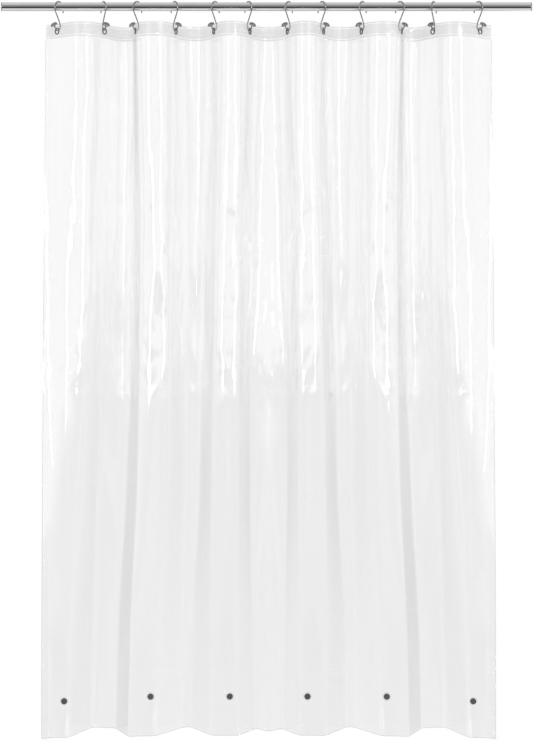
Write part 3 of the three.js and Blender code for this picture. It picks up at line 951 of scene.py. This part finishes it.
def make_magnets():
    """Discs that face the room, each under its own round pocket."""
    edge = 0.45 * MM
    r, top = MAGNET_RADIUS, MAGNET_THICKNESS
    disc = [(0, 0)] + arc(r - edge, edge, edge, -90, 0, 4)
    disc += arc(r - edge, top - edge, edge, 0, 90, 4) + [(0, top)]
    toward = Matrix.Rotation(math.pi / 2, 4, "X")
    for i, (_, x, y, z) in enumerate(MAGNETS):
        name = f"{i + 1:02d}"
        on_film = Matrix.Translation((x, y, z)) @ toward
        lifted = on_film @ Matrix.Translation((0, 0, MAGNET_STAND))
        magnet = turned(f"hem_magnet_{name}", disc, FERRITE, 48, lifted)
        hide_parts(f"magnet_{name}")
        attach(magnet, f"magnet_{name}")
        pocket = turned(f"pocket_{name}", pocket_profile(), POCKET_FILM, 56, on_film)
        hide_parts(f"magnet_pocket_{name}")
        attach(pocket, f"magnet_{name}")


def pocket_profile():
    """A round patch of film that rises over its magnet, with a welded bead near the rim."""
    rim = 0.5 * MM
    crown = MAGNET_STAND + MAGNET_THICKNESS + 0.35 * MM
    profile = []
    for r in np.linspace(0, 1, 28) * POCKET_RADIUS:
        rise = 1 - smooth(MAGNET_RADIUS * 0.98, MAGNET_RADIUS + 2.2 * MM, r)
        lift = rim + (crown - rim) * rise
        bead = 0.25 * MM * math.exp(-(((r - POCKET_RADIUS * 0.93) / (0.6 * MM)) ** 2))
        profile.append((float(r), float(lift + bead)))
    return profile


# ---------------------------------------------------------------- studio and camera

CAMERA_AWAY = 5.2
CAMERA_Z = -0.802
MM_PER_PIXEL = 2.584  # at the rod
IMAGE_HEIGHT = 741
HORIZON_DROP = 0.0721  # how far the view is shifted down, as a share of its height


def make_camera():
    """Level, in front of the middle of the rod's length, at the scale of MM_PER_PIXEL."""
    camera = bpy.data.cameras.new("camera")
    camera.sensor_width = 36
    camera.lens = camera.sensor_width * (CAMERA_AWAY / MM) / MM_PER_PIXEL / IMAGE_HEIGHT
    camera.shift_y = -HORIZON_DROP
    camera.clip_end = 50
    obj = bpy.data.objects.new("camera", camera)
    bpy.context.collection.objects.link(obj)
    obj.location = (ROD_LENGTH / 2, -CAMERA_AWAY, CAMERA_Z)
    obj.rotation_euler = (math.pi / 2, 0, 0)
    bpy.context.scene.camera = obj


# radiance of the surround by the sine of elevation, for four ranges of azimuth
FRONT = [(-1, 1.15), (-0.8, 0.75), (-0.28, 0.55), (-0.2, 0.18), (-0.05, 0.22)]
FRONT += [(0.01, 1.18), (0.7, 1.2), (1, 0.9)]
SIDE = [(-1, 1.15), (-0.8, 0.7), (-0.45, 0.6), (-0.075, 0.6), (0.01, 1.15), (0.7, 1.2), (1, 0.9)]
BEHIND_CAMERA = [(-1, 1.15), (-0.9, 0.9), (-0.77, 0.5), (-0.55, 0.01), (-0.22, 0.01), (-0.1, 0.36)]
BEHIND_CAMERA += [(0.45, 0.43), (0.8, 0.75), (1, 0.9)]
BEYOND = [(-1, 1.15), (-0.8, 0.7), (-0.17, 0.57), (-0.1, 0.5), (0.05, 0.58)]
BEYOND += [(0.5, 0.6), (0.8, 0.9), (1, 0.9)]
# upright lamps low down all round, which only views from above mirror
LOW_LAMPS = 7.0
LOW_LAMP_SHADE = 1.6
LOW_LAMP_EDGE = (0.8, 0.93)  # of the wave round the horizon whose crests are the lamps
LOW_LAMP_REACH = [(-1, 0), (-0.75, 0), (-0.6, 2), (-0.29, 2), (-0.24, 0), (1, 0)]
# cosines of the azimuth from the camera's side, where one range gives way to the next
SIDE_EDGE = (0.3, 0.0)
BEYOND_EDGE = (-0.5, -0.85)
CAMERA_EDGE = (0.9759, 0.9806)
BRIGHTEST = 2.0


def make_world():
    """A white studio: what the camera sees is white, and what shines is a graded surround."""
    world = bpy.data.worlds.new("studio")
    world.use_nodes = True
    bpy.context.scene.world = world
    tree = world.node_tree
    tree.nodes.clear()
    new, link = tree.nodes.new, tree.links.new

    def put(kind, *values, **settings):
        node = new(kind)
        for key, value in settings.items():
            setattr(node, key, value)
        for socket, value in zip(node.inputs, values):
            if isinstance(value, bpy.types.NodeSocket):
                link(value, socket)
            else:
                socket.default_value = value
        return node.outputs[0]

    split = new("ShaderNodeSeparateXYZ")
    link(new("ShaderNodeTexCoord").outputs["Generated"], split.inputs[0])
    x, y, z = split.outputs

    def math_node(operation, a, b=0.0):
        return put("ShaderNodeMath", a, b, operation=operation)

    level = math_node("ADD", math_node("MULTIPLY", x, x), math_node("MULTIPLY", y, y))
    level = math_node("SQRT", math_node("ADD", level, 1e-6))
    toward = math_node("MULTIPLY", math_node("DIVIDE", y, level), -1.0)
    height = put("ShaderNodeMapRange", z, -1.0, 1.0, 0.0, 1.0)

    def graded(stops):
        ramp = new("ShaderNodeValToRGB")
        while len(ramp.color_ramp.elements) < len(stops):
            ramp.color_ramp.elements.new(0.5)
        for element, (sine, shade) in zip(ramp.color_ramp.elements, stops):
            element.position = (sine + 1) / 2
            element.color = (shade / BRIGHTEST,) * 3 + (1,)
        link(height, ramp.inputs["Fac"])
        return ramp.outputs["Color"]

    def share(edges):
        return put("ShaderNodeMapRange", toward, *edges, 0.0, 1.0)

    def blended(amount, first, second):
        node = new("ShaderNodeMix")
        node.data_type = "RGBA"
        link(amount, node.inputs["Factor"])
        link(first, node.inputs[6])
        link(second, node.inputs[7])
        return node.outputs[2]

    colour = blended(share(SIDE_EDGE), graded(FRONT), graded(SIDE))
    colour = blended(share(BEYOND_EDGE), colour, graded(BEYOND))
    wave = math_node("SINE", math_node("MULTIPLY", math_node("ARCTAN2", x, y), LOW_LAMPS))
    lamp = put("ShaderNodeMapRange", wave, *LOW_LAMP_EDGE, 0.0, 1.0)
    lamp = math_node("MULTIPLY", lamp, graded(LOW_LAMP_REACH))
    bright = new("ShaderNodeRGB")
    bright.outputs[0].default_value = (LOW_LAMP_SHADE,) * 3 + (1,)
    colour = blended(lamp, colour, bright.outputs[0])
    colour = blended(share(CAMERA_EDGE), colour, graded(BEHIND_CAMERA))
    surround = put("ShaderNodeBackground", colour, BRIGHTEST)
    white = put("ShaderNodeBackground", (1, 1, 1, 1), 1.0)
    seen = new("ShaderNodeLightPath").outputs["Is Camera Ray"]
    mixed = put("ShaderNodeMixShader", seen, surround, white)
    link(mixed, new("ShaderNodeOutputWorld").inputs["Surface"])


SOFT = bpy.data.collections.new("soft")  # the film pieces, the only ones that the card lights
CARD_AWAY, CARD_Z, CARD_SIZE, CARD_POWER = 60, 12.9, (25.5, 30), 1923
STRIP_ASIDE, STRIP_AWAY, STRIP_Z, STRIP_SIZE, STRIP_POWER = 2.2, 3.0, 0.3, (0.08, 2.9), 32
FLOOR_GAP = 0.12  # below the curtain
FLOOR_HALF = 1.6


def make_light(name, place, target, size, power):
    """A rectangular lamp, aimed at a point, which the camera doesn't see."""
    light = bpy.data.lights.new(name, "AREA")
    light.shape = "RECTANGLE"
    light.size, light.size_y = size
    light.energy = power
    obj = bpy.data.objects.new(name, light)
    bpy.context.collection.objects.link(obj)
    obj.location = place
    aim = Vector(target) - Vector(place)
    obj.rotation_euler = aim.to_track_quat("-Z", "Y").to_euler()
    obj.visible_camera = False
    return obj


def make_studio():
    """A far soft card, and two upright strips that end three fifths of the way down the film."""
    middle = ROD_LENGTH / 2
    place, target = (middle, -CARD_AWAY, CARD_Z), (middle, 0, CARD_Z)
    card = make_light("card", place, target, CARD_SIZE, CARD_POWER)
    card.light_linking.receiver_collection = SOFT
    for name, side in (("strip_left", -1), ("strip_right", 1)):
        place, target = (middle + side * STRIP_ASIDE, -STRIP_AWAY, STRIP_Z), (middle, 0, STRIP_Z)
        make_light(name, place, target, STRIP_SIZE, STRIP_POWER)


def make_floor():
    """A white floor that glows evenly: shadows hardly show on it, and nothing mirrors it."""
    z = CLOTH_BOTTOM - FLOOR_GAP
    n = Nodes("floor_white")
    glow = n.add("ShaderNodeEmission", Color=(1, 1, 1, 1), Strength=0.99)
    paint = n.add("ShaderNodeBsdfDiffuse", Color=(0.01, 0.01, 0.01, 1))
    both = n.add("ShaderNodeAddShader")
    n.set(both.inputs[0], glow)
    n.set(both.inputs[1], paint)
    material = n.finish(both)
    ends = (-FLOOR_HALF, -FLOOR_HALF), (FLOOR_HALF, -FLOOR_HALF)
    ends += (FLOOR_HALF, FLOOR_HALF), (-FLOOR_HALF, FLOOR_HALF)
    corners = [(ROD_LENGTH / 2 + x, y, z) for x, y in ends]
    floor = mesh_object("floor", corners, [(0, 1, 2, 3)], material, sharp=True)
    floor.visible_glossy = False


bpy.context.scene.view_settings.view_transform = "Standard"
make_camera()
make_world()
make_studio()
make_floor()
make_rod()
make_cloth()
make_eyelets()
make_hooks()
make_magnets()
